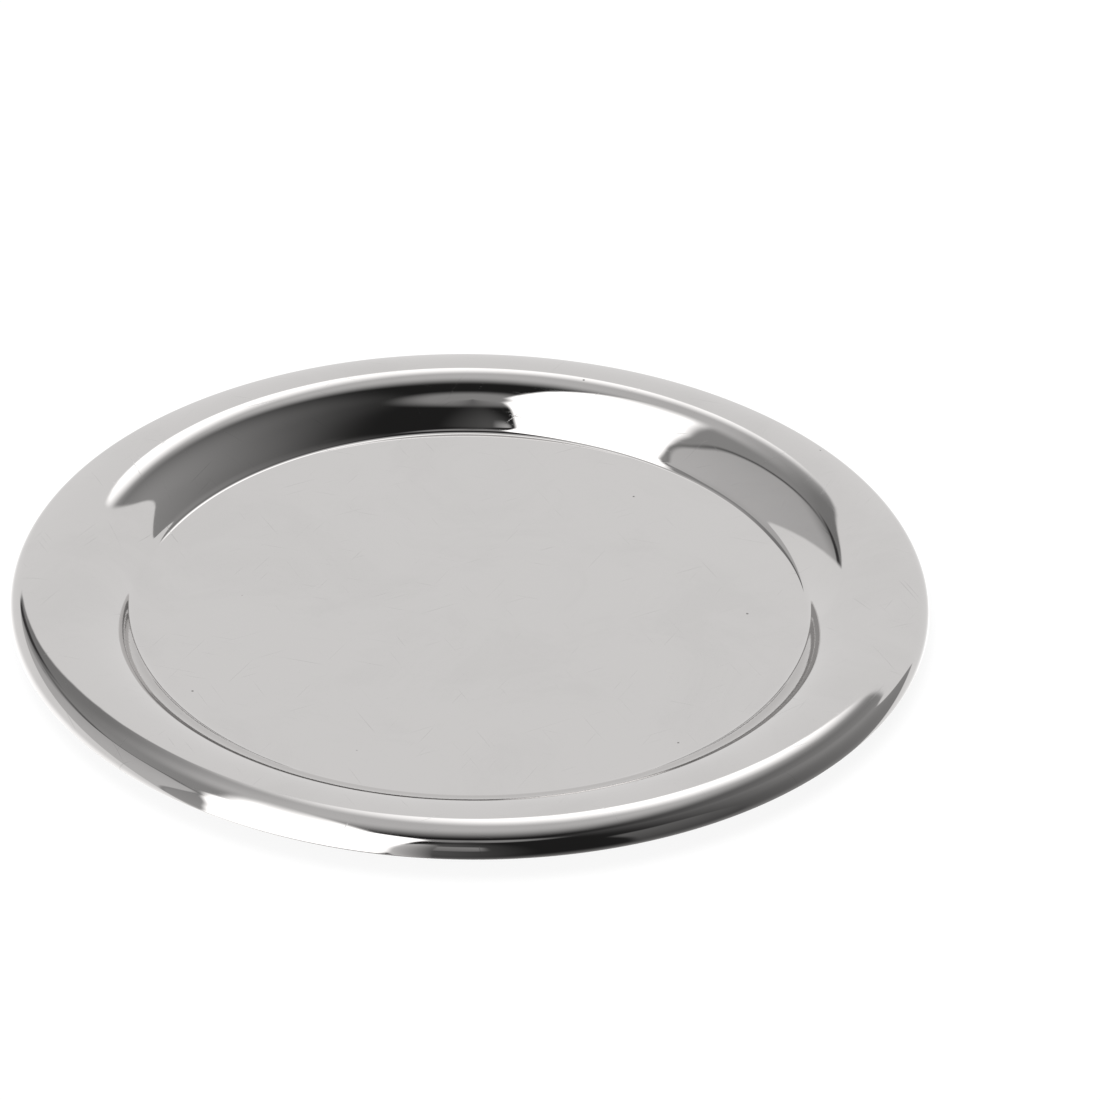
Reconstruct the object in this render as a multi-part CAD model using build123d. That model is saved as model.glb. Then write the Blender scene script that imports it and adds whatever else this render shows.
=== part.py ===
from build123d import *

import os
from math import radians, sin

# A round coin tray pressed from one sheet of polished stainless steel.
# Z is up, and the origin is the middle of the floor's underside, which rests on the table.
# Going outward from the middle, the sheet is a flat floor, a hollow bend that turns it up,
# a broad crowned rim and a tight edge roll that turns the cut edge down.

# Driving sizes in millimetres. The bend and roll radii are those of the upper, visible face.
outside_diameter = 140.0
rim_width = 19.4
sheet_thickness = 0.75
floor_bend_radius = 2.2
edge_roll_radius = 2.35

# Slopes of the sheet against the level floor, in degrees, at the places where the curves meet.
rim_rise_slope = 47.0
rim_fall_slope = 15.5
cut_edge_slope = 95.0

# The two corners of the cut edge are each rounded by this share of the sheet's thickness.
cut_edge_round_share = 1 / 3


def sine(degrees):
    return sin(radians(degrees))


# The rim width is shared out from the floor's edge outward, and the crown takes what the bend
# and the edge roll leave of it.
floor_radius = outside_diameter / 2 - rim_width
floor_bend_reach = floor_bend_radius * sine(rim_rise_slope)
edge_roll_reach = edge_roll_radius * (1 - sine(rim_fall_slope))
crown_reach = rim_width - floor_bend_reach - edge_roll_reach
crown_radius = crown_reach / (sine(rim_rise_slope) + sine(rim_fall_slope))


def sheet_face(floor_height, depth):
    """One face of the sheet, from the axis to the cut edge, as a level line and tangent arcs.

    The depth is measured from the upper face, which lies inside the hollow bend and outside
    the crown and the edge roll, so it widens the bend's radius and narrows the other two.
    """
    floor = Line((0, floor_height), (floor_radius, floor_height))
    bend = JernArc(floor @ 1, floor % 1, floor_bend_radius + depth, rim_rise_slope)
    crown = JernArc(bend @ 1, bend % 1, crown_radius - depth, -rim_rise_slope - rim_fall_slope)
    edge_roll = JernArc(crown @ 1, crown % 1, edge_roll_radius - depth, rim_fall_slope - cut_edge_slope)
    return Curve() + [floor, bend, crown, edge_roll]


def sheet_section():
    """The sheet cut through its middle: two parallel faces, closed on the axis and at the cut edge."""
    upper = sheet_face(sheet_thickness, 0)
    lower = sheet_face(0, sheet_thickness)
    axis_side = Line(lower @ 0, upper @ 0)
    cut_edge = Line(upper @ 1, lower @ 1)
    section = make_face(upper + lower + axis_side + cut_edge)
    corner_round = sheet_thickness * cut_edge_round_share
    cut_corners = [
        corner for corner in section.vertices() if cut_edge.distance_to(corner) < corner_round
    ]
    return fillet(cut_corners, corner_round)


def make_tray():
    """The sheet's section turned once round the upright axis."""
    return revolve(Plane.XZ * sheet_section(), Axis.Z)


os.makedirs("parts", exist_ok=True)
export_step(make_tray(), "parts/tray.step")
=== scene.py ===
from math import asin, cos, radians, sin

import bpy
import numpy as np
from mathutils import Matrix, Vector


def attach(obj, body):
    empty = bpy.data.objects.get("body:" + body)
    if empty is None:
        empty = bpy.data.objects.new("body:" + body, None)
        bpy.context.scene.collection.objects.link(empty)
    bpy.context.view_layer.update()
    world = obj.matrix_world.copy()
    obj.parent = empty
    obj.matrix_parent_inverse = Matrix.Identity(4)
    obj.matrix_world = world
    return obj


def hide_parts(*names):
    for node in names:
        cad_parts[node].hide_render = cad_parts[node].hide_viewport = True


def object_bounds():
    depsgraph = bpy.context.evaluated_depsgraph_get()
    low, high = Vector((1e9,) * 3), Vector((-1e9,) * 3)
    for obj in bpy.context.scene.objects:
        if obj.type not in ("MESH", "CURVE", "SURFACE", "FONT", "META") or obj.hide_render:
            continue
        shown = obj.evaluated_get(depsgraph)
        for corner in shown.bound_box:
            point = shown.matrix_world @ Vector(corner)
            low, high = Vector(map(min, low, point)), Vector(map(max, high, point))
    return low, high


# A round coin tray pressed from one sheet of mirror-polished stainless steel, on a pale floor.
# Everything is in metres and Z is up. The tray rests on the floor at Z 0, and the camera looks
# along +Y from the front.

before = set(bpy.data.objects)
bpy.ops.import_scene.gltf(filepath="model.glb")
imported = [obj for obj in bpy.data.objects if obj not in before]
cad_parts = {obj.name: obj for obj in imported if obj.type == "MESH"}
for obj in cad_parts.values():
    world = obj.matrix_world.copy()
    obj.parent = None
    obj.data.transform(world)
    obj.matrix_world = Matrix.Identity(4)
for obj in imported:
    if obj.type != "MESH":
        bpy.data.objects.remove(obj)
cad_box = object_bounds()

MM = 0.001
quarter_turn = radians(90.0)
half_turn = radians(180.0)

# Sizes of the pressed sheet. The bend and roll radii are those of the upper, visible face.
rim_width = 19.4 * MM
sheet_thickness = 0.75 * MM
floor_bend_radius = 2.2 * MM
edge_roll_radius = 2.35 * MM
cut_corner_radius = sheet_thickness / 3

# Slopes of the sheet against the level floor, at the places where its curves meet.
rim_rise_slope = radians(47.0)
rim_fall_slope = radians(15.5)
cut_edge_slope = radians(95.0)

# How finely the sheet is meshed: steps round the axis, and steps along each curve of the section.
# The upper face is a mirror, so its curves are finer than those of the underside.
steps_around = 480
upper_steps = {"floor": 6, "bend": 24, "crown": 56, "roll": 40}
under_steps = {"floor": 3, "bend": 12, "crown": 24, "roll": 16}
corner_steps = 5

# Places in the sheet's list of materials.
upper, cut, under = 0, 1, 2


# The sheet


def box_radius(box):
    """The smallest distance from the upright axis to a side of the box."""
    low, high = box
    return min(high.x, high.y, -low.x, -low.y)


class SectionWalk:
    """A walk along the sheet's section. It keeps each point and the face that leads up to it."""

    def __init__(self, radius, height):
        self.points = [np.array([[radius, height]])]
        self.faces = []
        self.slope = 0.0

    def go(self, moved, face):
        self.points.append(self.points[-1][-1] + moved)
        self.faces.append(np.full(len(moved), face))

    def straight(self, length, steps, face):
        """Even steps along the present slope."""
        along = np.linspace(0, length, steps + 1)[1:, None]
        self.go(along * np.array([cos(self.slope), sin(self.slope)]), face)

    def turn(self, radius, next_slope, steps, face):
        """An arc of radius R that turns the slope evenly from a to b.

        It moves the point by R (sin b - sin a) outward and by R (cos a - cos b) upward. R is below
        zero where the walk turns to its right.
        """
        angle = np.linspace(self.slope, next_slope, steps + 1)[1:]
        outward = np.sin(angle) - sin(self.slope)
        upward = cos(self.slope) - np.cos(angle)
        self.go(radius * np.stack([outward, upward], 1), face)
        self.slope = next_slope


def sheet_section(outside_radius):
    """The closed section of the sheet, as radius and height of each point, and each step's face.

    It goes from the axis over the upper face, round the cut edge and back along the underside.
    """
    bend_reach = floor_bend_radius * sin(rim_rise_slope)
    roll_reach = edge_roll_radius * (1 - sin(rim_fall_slope))
    crown_reach = rim_width - bend_reach - roll_reach
    crown_radius = crown_reach / (sin(rim_rise_slope) + sin(rim_fall_slope))
    floor_radius = outside_radius - rim_width

    # The rounded corners of the cut edge touch the sheet's two faces and the straight cut, which
    # points at the middle of the edge roll. The shares are the angles that they take off each face.
    outer_centre = edge_roll_radius - cut_corner_radius
    inner_centre = edge_roll_radius - sheet_thickness + cut_corner_radius
    outer_share = asin(cut_corner_radius / outer_centre)
    inner_share = asin(cut_corner_radius / inner_centre)
    cut_length = outer_centre * cos(outer_share) - inner_centre * cos(inner_share)

    walk = SectionWalk(0.0, sheet_thickness)
    walk.straight(floor_radius, upper_steps["floor"], upper)
    walk.turn(floor_bend_radius, rim_rise_slope, upper_steps["bend"], upper)
    walk.turn(-crown_radius, -rim_fall_slope, upper_steps["crown"], upper)
    walk.turn(-edge_roll_radius, outer_share - cut_edge_slope, upper_steps["roll"], upper)
    walk.turn(-cut_corner_radius, -cut_edge_slope - quarter_turn, corner_steps, cut)
    walk.straight(cut_length, 1, cut)
    walk.turn(-cut_corner_radius, inner_share - cut_edge_slope - half_turn, corner_steps, cut)
    walk.turn(edge_roll_radius - sheet_thickness, -rim_fall_slope - half_turn, under_steps["roll"], under)
    walk.turn(crown_radius - sheet_thickness, rim_rise_slope - half_turn, under_steps["crown"], under)
    walk.turn(-floor_bend_radius - sheet_thickness, -half_turn, under_steps["bend"], under)
    walk.straight(floor_radius, under_steps["floor"], under)
    return np.concatenate(walk.points), np.concatenate(walk.faces)


def turned_mesh(name, section, faces):
    """The section turned once round the upright axis: x = r cos a, y = r sin a, z = h, for even turns a.

    The first and last points of the section lie on the axis, and each becomes one shared vertex.
    """
    angle = np.linspace(0, 2 * np.pi, steps_around, endpoint=False)
    radius = section[1:-1, :1]
    height = np.repeat(section[1:-1, 1:], steps_around, 1)
    grid = np.stack([radius * np.cos(angle), radius * np.sin(angle), height], -1)
    poles = [(0.0, 0.0, section[0, 1]), (0.0, 0.0, section[-1, 1])]
    vertices = np.concatenate([grid.reshape(-1, 3), poles])

    ring = np.arange(len(radius) - 1)[:, None] * steps_around
    here = np.arange(steps_around)
    there = (here + 1) % steps_around
    next_ring = ring + steps_around
    quads = np.stack([ring + here, next_ring + here, next_ring + there, ring + there], -1)
    last_ring = (len(radius) - 1) * steps_around
    top_pole, bottom_pole = len(vertices) - 2, len(vertices) - 1
    top_fan = np.stack([np.full_like(here, top_pole), here, there], -1)
    bottom_fan = np.stack([last_ring + here, np.full_like(here, bottom_pole), last_ring + there], -1)
    polygons = quads.reshape(-1, 4).tolist() + top_fan.tolist() + bottom_fan.tolist()

    mesh = bpy.data.meshes.new(name)
    mesh.from_pydata(vertices.tolist(), [], polygons)
    face_order = np.concatenate([faces[1:-1], faces[:1], faces[-1:]])
    mesh.polygons.foreach_set("material_index", np.repeat(face_order, steps_around).astype(np.int32))
    mesh.shade_smooth()
    mesh.update()
    return mesh


def make_tray_sheet():
    """The pressed sheet, as wide as the box and no higher than it."""
    section, faces = sheet_section(box_radius(cad_box))
    section[:, 1] *= min(1.0, cad_box[1].z / section[:, 1].max())
    mesh = turned_mesh("tray_sheet", section, faces)
    sheet = bpy.data.objects.new("tray_sheet", mesh)
    bpy.context.scene.collection.objects.link(sheet)
    return sheet


# Building node trees


class Tree:
    """A node tree, with short ways to add a node and feed it."""

    def __init__(self, tree):
        self.nodes = tree.nodes
        self.links = tree.links

    def feed(self, socket, value):
        """Link a socket to the value if that is a socket too, or else set it."""
        if isinstance(value, bpy.types.NodeSocket):
            self.links.new(value, socket)
        else:
            socket.default_value = value

    def add(self, kind, inputs=(), **settings):
        """A new node with its settings, and its inputs fed by name."""
        node = self.nodes.new(kind)
        for label, value in settings.items():
            setattr(node, label, value)
        for label, value in dict(inputs).items():
            self.feed(node.inputs[label], value)
        return node

    def math(self, operation, *values):
        node = self.add("ShaderNodeMath", operation=operation)
        for socket, value in zip(node.inputs, values):
            self.feed(socket, value)
        return node.outputs[0]

    def vector(self, operation, *values):
        node = self.add("ShaderNodeVectorMath", operation=operation)
        for socket, value in zip(node.inputs, values):
            self.feed(socket, value)
        return node.outputs[0]

    def scaled(self, vector, amount):
        node = self.add("ShaderNodeVectorMath", {"Scale": amount}, operation="SCALE")
        self.feed(node.inputs[0], vector)
        return node.outputs[0]

    def step(self, value, start, end, low=0.0, high=1.0):
        """A soft step from low to high, while the value goes from start to end."""
        inputs = {"Value": value, "From Min": start, "From Max": end, "To Min": low, "To Max": high}
        return self.add("ShaderNodeMapRange", inputs, interpolation_type="SMOOTHSTEP").outputs["Result"]

    def noise(self, position, detail=2.0, roughness=0.5, distortion=0.0):
        """Cloudy noise of about 0.2 to 0.8, one cloud for each unit of the position."""
        inputs = {"Vector": position, "Scale": 1.0, "Detail": detail, "Roughness": roughness,
                  "Distortion": distortion}
        return self.add("ShaderNodeTexNoise", inputs).outputs[0]

    def length(self, vector):
        return self.add("ShaderNodeVectorMath", {"Vector": vector}, operation="LENGTH").outputs["Value"]

    def mixed(self, share, first, second):
        """The first value at share 0 and the second at share 1."""
        return self.add("ShaderNodeMix", {"Factor": share, "A": first, "B": second}).outputs["Result"]

    def group(self, group, inputs, label=""):
        """A node of the group, fed by name. Returns its outputs."""
        return self.add("ShaderNodeGroup", inputs, node_tree=group, label=label).outputs


def new_group(name, inputs, outputs):
    """An empty shader node group: itself, its tree, its inputs, and the sockets its outputs go to.

    Each input is named with its usual value. An input without one is a vector.
    """
    group = bpy.data.node_groups.new(name, "ShaderNodeTree")
    for label, value in inputs.items():
        kind = "NodeSocketVector" if value is None else "NodeSocketFloat"
        socket = group.interface.new_socket(name=label, in_out="INPUT", socket_type=kind)
        if value is not None:
            socket.default_value = value
    for label in outputs:
        group.interface.new_socket(name=label, in_out="OUTPUT", socket_type="NodeSocketFloat")
    tree = Tree(group)
    return group, tree, tree.add("NodeGroupInput").outputs, tree.add("NodeGroupOutput").inputs


# What the steel's surface is made of


# The ways that the straight scratches run, in degrees round the upright axis.
scratch_turns = (17, 64, 118, 151)

# The colour of bare steel, linear. It is lightest where it is polished.
mirror_tint = (0.585, 0.571, 0.564)
underside_tint = (0.55, 0.537, 0.53)
cut_tint = (0.52, 0.508, 0.501)


def wave_group():
    """The sheet's unevenness: long shallow waves left by the press and shorter ripples on them."""
    inputs = {
        "Position": None,
        "Wave Length": 17 * MM,
        "Wave Height": 0.032 * MM,
        "Ripple Length": 4 * MM,
        "Ripple Height": 0.0025 * MM,
    }
    group, tree, given, put_out = new_group("Sheet waves", inputs, ["Height"])

    def clouds(length, height):
        position = tree.scaled(given["Position"], tree.math("DIVIDE", 1.0, length))
        return tree.math("MULTIPLY", tree.noise(position, detail=1.0), height)

    waves = clouds(given["Wave Length"], given["Wave Height"])
    ripples = clouds(given["Ripple Length"], given["Ripple Height"])
    tree.feed(put_out["Height"], tree.math("ADD", waves, ripples))
    return group


def turned_line_group():
    """Fine lines that polishing leaves on a spinning tray: long round the axis and thin across.

    The noise is read at the direction from the axis, stretched to the wanted length, and at the
    distance from the axis less a share of the height, so the lines have no seam and also run round
    steep faces.
    """
    inputs = {"Position": None, "Length": 30 * MM, "Spacing": 0.25 * MM, "Start": 0.52, "End": 0.72}
    group, tree, given, put_out = new_group("Turned lines", inputs, ["Mask"])
    usual_radius = 60 * MM
    height_share = 0.4
    parts = tree.add("ShaderNodeSeparateXYZ", {"Vector": given["Position"]}).outputs
    level = tree.add("ShaderNodeCombineXYZ", {"X": parts["X"], "Y": parts["Y"]}).outputs[0]
    stretch = tree.math("DIVIDE", usual_radius, given["Length"])
    around = tree.scaled(tree.vector("NORMALIZE", level), stretch)
    sunk = tree.math("MULTIPLY", parts["Z"], height_share)
    across = tree.math("DIVIDE", tree.math("SUBTRACT", tree.length(level), sunk), given["Spacing"])
    rise = tree.add("ShaderNodeCombineXYZ", {"Z": across}).outputs[0]
    lines = tree.noise(tree.vector("ADD", around, rise))
    tree.feed(put_out["Mask"], tree.step(lines, given["Start"], given["End"]))
    return group


def scratch_group():
    """Sparse straight scratches that all run one way, given by their turn in degrees."""
    inputs = {
        "Position": None,
        "Turn": 0.0,
        "Length": 14 * MM,
        "Spacing": 0.35 * MM,
        "Start": 0.70,
        "End": 0.76,
    }
    group, tree, given, put_out = new_group("Straight scratches", inputs, ["Mask"])
    turn = tree.math("RADIANS", given["Turn"])
    turned = tree.add("ShaderNodeVectorRotate", {"Vector": given["Position"], "Angle": turn},
                      rotation_type="Z_AXIS").outputs[0]
    parts = tree.add("ShaderNodeSeparateXYZ", {"Vector": turned}).outputs
    along = tree.math("DIVIDE", parts["X"], given["Length"])
    across = tree.math("DIVIDE", parts["Y"], given["Spacing"])
    place = tree.add("ShaderNodeCombineXYZ", {"X": along, "Y": across, "Z": given["Turn"]}).outputs[0]
    tree.feed(put_out["Mask"], tree.step(tree.noise(place), given["Start"], given["End"]))
    return group


def speck_group():
    """Small round dents and specks, in a share of the cells of a cell pattern.

    Each is full within a share of its size and fades to nothing at its edge.
    """
    full_share = 0.5
    inputs = {"Position": None, "Spacing": 6 * MM, "Size": 0.26 * MM, "Share": 0.35}
    group, tree, given, put_out = new_group("Specks", inputs, ["Mask"])
    position = tree.scaled(given["Position"], tree.math("DIVIDE", 1.0, given["Spacing"]))
    cells = tree.add("ShaderNodeTexVoronoi", {"Vector": position, "Scale": 1.0}).outputs
    reach = tree.math("DIVIDE", given["Size"], given["Spacing"])
    full_reach = tree.math("MULTIPLY", reach, full_share)
    dot = tree.step(cells["Distance"], full_reach, reach, 1.0, 0.0)
    chance = tree.add("ShaderNodeSeparateColor", {"Color": cells["Color"]}).outputs["Red"]
    chosen = tree.math("LESS_THAN", chance, given["Share"])
    tree.feed(put_out["Mask"], tree.math("MULTIPLY", dot, chosen))
    return group


def smudge_group():
    """Cloudy patches where handling has left a faint film."""
    group, tree, given, put_out = new_group("Smudges", {"Position": None, "Size": 22 * MM}, ["Mask"])
    position = tree.scaled(given["Position"], tree.math("DIVIDE", 1.0, given["Size"]))
    clouds = tree.noise(position, detail=6.0, roughness=0.65, distortion=0.8)
    clean, smudged = 0.42, 0.68
    tree.feed(put_out["Mask"], tree.step(clouds, clean, smudged))
    return group


def sheet_finish_group():
    """Everything that handling and polishing leave on the sheet, as brightness, roughness and height."""
    inputs = {
        "Position": None,
        "Clean Roughness": 0.02,
        "Smudge Roughness": 0.03,
        "Smudge Loss": 0.03,
        "Line Roughness": 0.03,
        "Line Depth": 0.00003 * MM,
        "Scratch Roughness": 0.12,
        "Scratch Loss": 0.10,
        "Scratch Depth": 0.0006 * MM,
        "Speck Roughness": 0.40,
        "Speck Loss": 0.55,
        "Speck Share": 0.35,
    }
    group, tree, given, put_out = new_group("Sheet finish", inputs, ["Brightness", "Roughness", "Height"])
    position = {"Position": given["Position"]}
    lines = tree.group(turned_line_group(), position)["Mask"]
    smudges = tree.group(smudge_group(), position)["Mask"]
    specks = tree.group(speck_group(), position | {"Share": given["Speck Share"]})["Mask"]
    waves = tree.group(wave_group(), position)["Height"]
    scratch = scratch_group()
    scratches = 0.0
    for turn in scratch_turns:
        one_way = tree.group(scratch, position | {"Turn": turn})["Mask"]
        scratches = tree.math("MAXIMUM", one_way, scratches)

    def amount(label, quantity):
        """How much of a quantity the mask with this label brings at a place."""
        return tree.math("MULTIPLY", masks[label], given[label + " " + quantity])

    masks = {"Smudge": smudges, "Line": lines, "Scratch": scratches, "Speck": specks}
    roughness = given["Clean Roughness"]
    for label in masks:
        roughness = tree.math("ADD", roughness, amount(label, "Roughness"))
    brightness = 1.0
    for label in ("Smudge", "Scratch", "Speck"):
        brightness = tree.math("SUBTRACT", brightness, amount(label, "Loss"))
    height = waves
    for label in ("Line", "Scratch"):
        height = tree.math("SUBTRACT", height, amount(label, "Depth"))
    tree.feed(put_out["Brightness"], brightness)
    tree.feed(put_out["Roughness"], roughness)
    tree.feed(put_out["Height"], height)
    return group


def new_material(name):
    material = bpy.data.materials.new(name)
    material.use_nodes = True
    nodes = material.node_tree.nodes
    return material, Tree(material.node_tree), nodes["Principled BSDF"], nodes["Material Output"]


def steel(name, finish, tint, values):
    """Bare stainless steel with the sheet's finish, at the given values of its inputs."""
    material, tree, shader, _ = new_material(name)
    position = tree.add("ShaderNodeTexCoord").outputs["Object"]
    surface = tree.group(finish, {"Position": position} | values)
    shader.inputs["Metallic"].default_value = 1.0
    tree.feed(shader.inputs["Base Color"], tree.scaled(tint, surface["Brightness"]))
    tree.feed(shader.inputs["Roughness"], surface["Roughness"])
    bump = tree.add("ShaderNodeBump", {"Height": surface["Height"], "Distance": 1.0, "Strength": 1.0})
    tree.feed(shader.inputs["Normal"], bump.outputs["Normal"])
    return material


def steel_materials():
    """The mirror of the upper face, the bare cut edge and the duller underside, in this order."""
    finish = sheet_finish_group()
    mirror = steel("mirror_polished_steel", finish, mirror_tint, {})
    cut_edge = steel("cut_steel_edge", finish, cut_tint, {
        "Clean Roughness": 0.16,
        "Line Roughness": 0.14,
        "Line Depth": 0.002 * MM,
    })
    underside = steel("satin_steel_underside", finish, underside_tint, {
        "Clean Roughness": 0.10,
        "Smudge Roughness": 0.08,
        "Line Roughness": 0.10,
        "Line Depth": 0.0008 * MM,
        "Scratch Roughness": 0.15,
        "Scratch Depth": 0.002 * MM,
    })
    return mirror, cut_edge, underside


# The studio that the steel mirrors


def panel_group():
    """How much of a studio panel lies in a direction, seen from the tray.

    A panel is a rounded rectangle on the sky: with across and up measured from its middle in
    half widths and half heights, it ends where across^corner + up^corner = 1. It is lit from one
    brightness to another, across it or up it.
    """
    inputs = {
        "Direction": None,
        "Behind": 0.0,
        "Azimuth": 0.0,
        "Elevation": 0.0,
        "Half Width": 30.0,
        "Half Height": 30.0,
        "Corner": 4.0,
        "Softness": 0.1,
        "First Brightness": 1.0,
        "Last Brightness": 1.0,
        "Fade Up": 0.0,
    }
    group, tree, given, put_out = new_group("Studio panel", inputs, ["Brightness"])
    turn = tree.math("RADIANS", given["Azimuth"])
    turned = tree.add("ShaderNodeVectorRotate", {"Vector": given["Direction"], "Angle": turn},
                      rotation_type="Z_AXIS").outputs[0]
    parts = tree.add("ShaderNodeSeparateXYZ", {"Vector": turned}).outputs
    azimuth = tree.math("DEGREES", tree.math("ARCTAN2", parts["X"], parts["Y"]))
    elevation = tree.math("DEGREES", tree.math("ARCSINE", parts["Z"]))
    across = tree.math("DIVIDE", azimuth, given["Half Width"])
    rise = tree.math("SUBTRACT", elevation, given["Elevation"])
    up = tree.math("DIVIDE", rise, given["Half Height"])

    wide = tree.math("POWER", tree.math("ABSOLUTE", across), given["Corner"])
    tall = tree.math("POWER", tree.math("ABSOLUTE", up), given["Corner"])
    reach = tree.math("POWER", tree.math("ADD", wide, tall), tree.math("DIVIDE", 1.0, given["Corner"]))
    inner = tree.math("SUBTRACT", 1.0, given["Softness"])
    outer = tree.math("ADD", 1.0, given["Softness"])
    mask = tree.step(reach, inner, outer, 1.0, 0.0)

    faded = tree.mixed(given["Fade Up"], across, up)
    lit = tree.add("ShaderNodeMapRange", {
        "Value": faded,
        "From Min": -1.0,
        "From Max": 1.0,
        "To Min": given["First Brightness"],
        "To Max": given["Last Brightness"],
    }).outputs["Result"]
    tree.feed(put_out["Brightness"], tree.mixed(mask, given["Behind"], lit))
    return group


# The studio, each panel in front of the ones above it. Azimuth 0 is behind the tray and 90 on its
# right, elevation 0 is the horizon, and both are in degrees. Brightness 1 is white. A panel gives
# the azimuth and elevation of its middle, its half width and half height in degrees, its corner and
# softness, and how it is lit: the way that it fades, and its brightness at the start and the end.
room_brightness = 0.02
fade_across, fade_up = 0.0, 1.0
panels = {
    "lamp overhead": dict(at=(0, 90), size=(180, 9), corner=8, soft=0.40, lit=(fade_up, 0.36, 0.36)),
    "right wall": dict(at=(75, -10), size=(60, 74), corner=3, soft=0.30, lit=(fade_across, 0.52, 0.05)),
    "cupboard": dict(at=(129, 14), size=(14, 34), corner=5, soft=0.12, lit=(fade_up, 0.08, 0.18)),
    "table in front": dict(at=(125, -80), size=(90, 50), corner=3, soft=0.50, lit=(fade_up, 0.55, 0.45)),
    "front wall": dict(at=(180, 25), size=(16, 48), corner=3, soft=0.40, lit=(fade_across, 0.02, 0.16)),
    "window": dict(at=(-175, 36), size=(9, 14), corner=6, soft=0.20, lit=(fade_up, 0.24, 0.36)),
    "side of the light": dict(at=(-167, 8), size=(5, 52), corner=4, soft=0.10, lit=(fade_across, 0.15, 0.85)),
    "left light": dict(at=(-87, 18), size=(75.5, 67), corner=4.5, soft=0.015, lit=(fade_up, 2.3, 2.3)),
    # Painted shadow: a darker strip low on the left, standing in for the tray's own shadow on the table,
    # which the lower edge of the roll mirrors as a thin grey line.
    "tray shadow on the table": dict(at=(-128, -38), size=(34, 5.5), corner=3, soft=0.40, lit=(fade_up, 1.3, 1.3)),
    "edge of the card": dict(at=(-55, 0), size=(64.5, 61), corner=2.4, soft=0.02, lit=(fade_up, 0.50, 0.37)),
    "back wall": dict(at=(0, 38), size=(21, 24), corner=3, soft=0.28, lit=(fade_up, 0.58, 0.75)),
    "seam": dict(at=(-66, 5), size=(42.4, 52.8), corner=3, soft=0.015, lit=(fade_across, 0.38, 0.06)),
    "card": dict(at=(-66, 5), size=(41, 51.4), corner=3, soft=0.02, lit=(fade_across, 0.72, 0.58)),
    "shade on the card": dict(at=(-19, 37), size=(11, 9), corner=2, soft=0.60, lit=(fade_up, 0.23, 0.30)),
    "gap by the sweep": dict(at=(-26.3, 32), size=(0.9, 6), corner=2, soft=0.50, lit=(fade_up, 0.05, 0.05)),
    "glow on the wall": dict(at=(6.5, 40.3), size=(10, 7.5), corner=2, soft=0.60, lit=(fade_up, 2.1, 1.9)),
    "white table": dict(at=(-20, -60), size=(92, 87.5), corner=3, soft=0.01, lit=(fade_up, 1.15, 1.0)),
    "white sweep": dict(at=(14, -10), size=(39, 49), corner=8, soft=0.01, lit=(fade_up, 1.0, 1.0)),
    "lit table": dict(at=(-30, -62), size=(80, 52), corner=3, soft=0.25, lit=(fade_up, 1.9, 1.5)),
}


def make_world():
    """White to the camera. Everything else, so also the steel, sees the studio."""
    world = bpy.data.worlds.new("studio")
    bpy.context.scene.world = world
    world.use_nodes = True
    tree = Tree(world.node_tree)
    direction = tree.add("ShaderNodeTexCoord").outputs["Generated"]
    group = panel_group()
    brightness = room_brightness
    for name, panel in panels.items():
        azimuth, elevation = panel["at"]
        half_width, half_height = panel["size"]
        fade, first, last = panel["lit"]
        brightness = tree.group(group, {
            "Direction": direction,
            "Behind": brightness,
            "Azimuth": azimuth,
            "Elevation": elevation,
            "Half Width": half_width,
            "Half Height": half_height,
            "Corner": panel["corner"],
            "Softness": panel["soft"],
            "First Brightness": first,
            "Last Brightness": last,
            "Fade Up": fade,
        }, label=name)["Brightness"]
    seen = tree.add("ShaderNodeLightPath").outputs["Is Camera Ray"]
    background = world.node_tree.nodes["Background"].inputs
    background["Color"].default_value = (1, 1, 1, 1)
    tree.feed(background["Strength"], tree.mixed(seen, brightness, 1.0))
    return world


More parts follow.
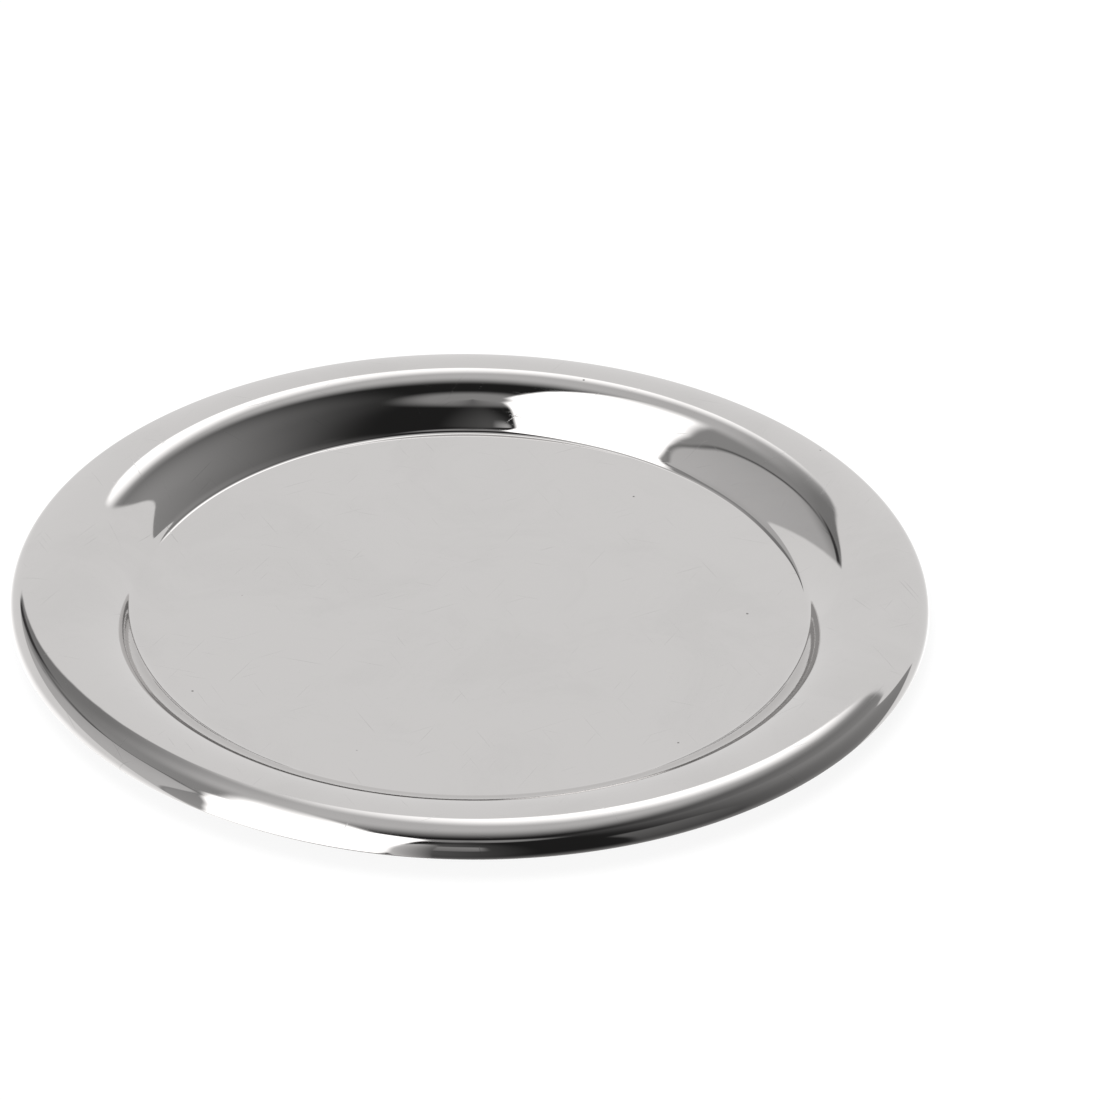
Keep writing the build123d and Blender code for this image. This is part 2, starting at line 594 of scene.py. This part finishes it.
def make_floor():
    """A pale floor that shows white to the camera, with the tray's soft shadow on it.

    The steel doesn't mirror it, because the studio already has the table in it.
    """
    reach = 4.0
    corners = [(-reach, -reach, 0), (reach, -reach, 0), (reach, reach, 0), (-reach, reach, 0)]
    mesh = bpy.data.meshes.new("floor")
    mesh.from_pydata(corners, [], [range(len(corners))])
    floor = bpy.data.objects.new("floor", mesh)
    bpy.context.scene.collection.objects.link(floor)
    floor.visible_glossy = False

    paint = (0.9, 0.9, 0.9, 1)
    paint_roughness = 0.9
    glow_share = 0.88
    material, tree, shader, output = new_material("pale_floor")
    shader.inputs["Base Color"].default_value = paint
    shader.inputs["Roughness"].default_value = paint_roughness
    seen = tree.add("ShaderNodeLightPath").outputs["Is Camera Ray"]
    mix = tree.add("ShaderNodeMixShader", {"Fac": tree.math("MULTIPLY", seen, glow_share)})
    painted, glowing = mix.inputs[1:]
    tree.feed(painted, shader.outputs["BSDF"])
    tree.feed(glowing, tree.add("ShaderNodeEmission").outputs["Emission"])
    tree.feed(output.inputs["Surface"], mix.outputs["Shader"])
    mesh.materials.append(material)
    return floor


def make_lamp():
    """A broad soft light from above, which the steel doesn't mirror."""
    width = 1.2
    height = 1.2
    power = 14.0
    light = bpy.data.lights.new("overhead_light", "AREA")
    light.shape = "DISK"
    light.size = width
    light.energy = power
    lamp = bpy.data.objects.new("overhead_light", light)
    bpy.context.scene.collection.objects.link(lamp)
    lamp.location.z = height
    lamp.visible_glossy = False
    return lamp


def make_camera():
    """The photograph's view: a long lens from the front, rolled a little to the left."""
    stand = Vector((0.0, -503.94, 326.4)) * MM
    aim = Vector((12.35, 15.2, 0.75)) * MM
    roll = radians(-1.361)
    film_width = 36.0
    focal_length = 128.1
    forward = (aim - stand).normalized()
    level_right = forward.cross(Vector((0, 0, 1))).normalized()
    level_up = level_right.cross(forward)
    up_side = level_up * cos(roll) + level_right * sin(roll)
    right_side = forward.cross(up_side)
    turned = Matrix((right_side, up_side, -forward)).transposed().to_4x4()
    camera = bpy.data.objects.new("camera", bpy.data.cameras.new("camera"))
    bpy.context.scene.collection.objects.link(camera)
    camera.matrix_world = Matrix.Translation(stand) @ turned
    camera.data.sensor_width = film_width
    camera.data.lens = focal_length
    bpy.context.scene.camera = camera
    return camera


# The scene

sheet = make_tray_sheet()
for material in steel_materials():
    sheet.data.materials.append(material)
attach(sheet, "root")
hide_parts("tray")

make_floor()
make_lamp()
make_world()
make_camera()
bpy.context.scene.view_settings.view_transform = "Standard"
